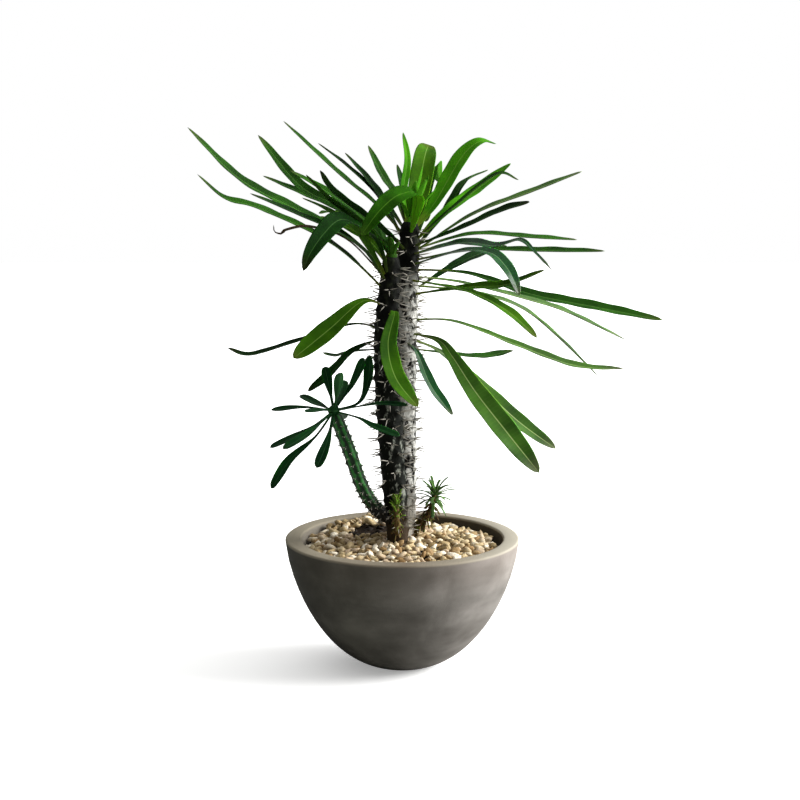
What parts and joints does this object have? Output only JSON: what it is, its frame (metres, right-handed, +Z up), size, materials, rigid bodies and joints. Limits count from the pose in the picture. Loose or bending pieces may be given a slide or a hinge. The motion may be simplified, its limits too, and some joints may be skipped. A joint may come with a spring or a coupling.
{
  "type": "potted madagascar palm",
  "caption": "Potted succulent: spiny upright stems with crowns of long narrow leaves, a young side shoot and small offsets, in a round cement bowl topped with gravel.",
  "frame": {"origin": "middle of the flat base of the pot, on the surface that it stands on", "axes": "+Z up along the pot's axis and the stems, -Y to the front, from where the shorter stem stands left of and before the taller one, +X to the right"},
  "size_m": [0.616, 0.458, 0.739],
  "materials": {
    "pot": "matte",
    "soil": "matte",
    "gravel": "matte",
    "tall_bark": "matte",
    "short_bark": "matte",
    "shoot_bark": "satin",
    "leaf": "gloss",
    "young_leaf": "gloss",
    "offset": "matte"
  },
  "bodies": {
    "root": {"pot": "pot", "soil": "soil", "gravel": "gravel", "tall_stem": "tall_bark", "short_stem": "short_bark", "shoot_stem": "shoot_bark", "shoot_crown": "young_leaf", "tall_heart": "leaf", "short_heart": "leaf", "side_sprout": "offset", "front_sprout": "offset", "tall_leaf_01": "leaf", "tall_leaf_02": "leaf", "tall_leaf_03": "leaf", "tall_leaf_04": "leaf", "tall_leaf_05": "leaf", "tall_leaf_06": "leaf", "tall_leaf_07": "leaf", "tall_leaf_08": "leaf", "tall_leaf_09": "leaf", "tall_leaf_10": "leaf", "tall_leaf_11": "leaf", "tall_leaf_12": "leaf", "tall_leaf_13": "leaf", "tall_leaf_14": "leaf", "tall_leaf_15": "leaf", "tall_leaf_16": "leaf", "tall_leaf_17": "leaf", "tall_leaf_18": "leaf", "tall_leaf_19": "leaf", "tall_leaf_20": "leaf", "tall_leaf_21": "leaf", "tall_leaf_22": "leaf", "tall_leaf_23": "leaf", "tall_leaf_24": "leaf", "tall_leaf_25": "leaf", "tall_leaf_26": "leaf", "tall_leaf_27": "leaf", "tall_leaf_28": "leaf", "tall_leaf_29": "leaf", "tall_leaf_30": "leaf", "tall_leaf_31": "leaf", "tall_leaf_32": "leaf", "tall_leaf_33": "leaf", "tall_leaf_34": "leaf", "tall_leaf_35": "leaf", "tall_leaf_36": "leaf", "short_leaf_01": "leaf", "short_leaf_02": "leaf", "short_leaf_03": "leaf", "short_leaf_04": "leaf", "short_leaf_05": "leaf", "short_leaf_06": "leaf", "short_leaf_07": "leaf", "short_leaf_08": "leaf", "short_leaf_09": "leaf", "short_leaf_10": "leaf", "short_leaf_11": "leaf", "short_leaf_12": "leaf", "short_leaf_13": "leaf"}
  },
  "joints": []
}
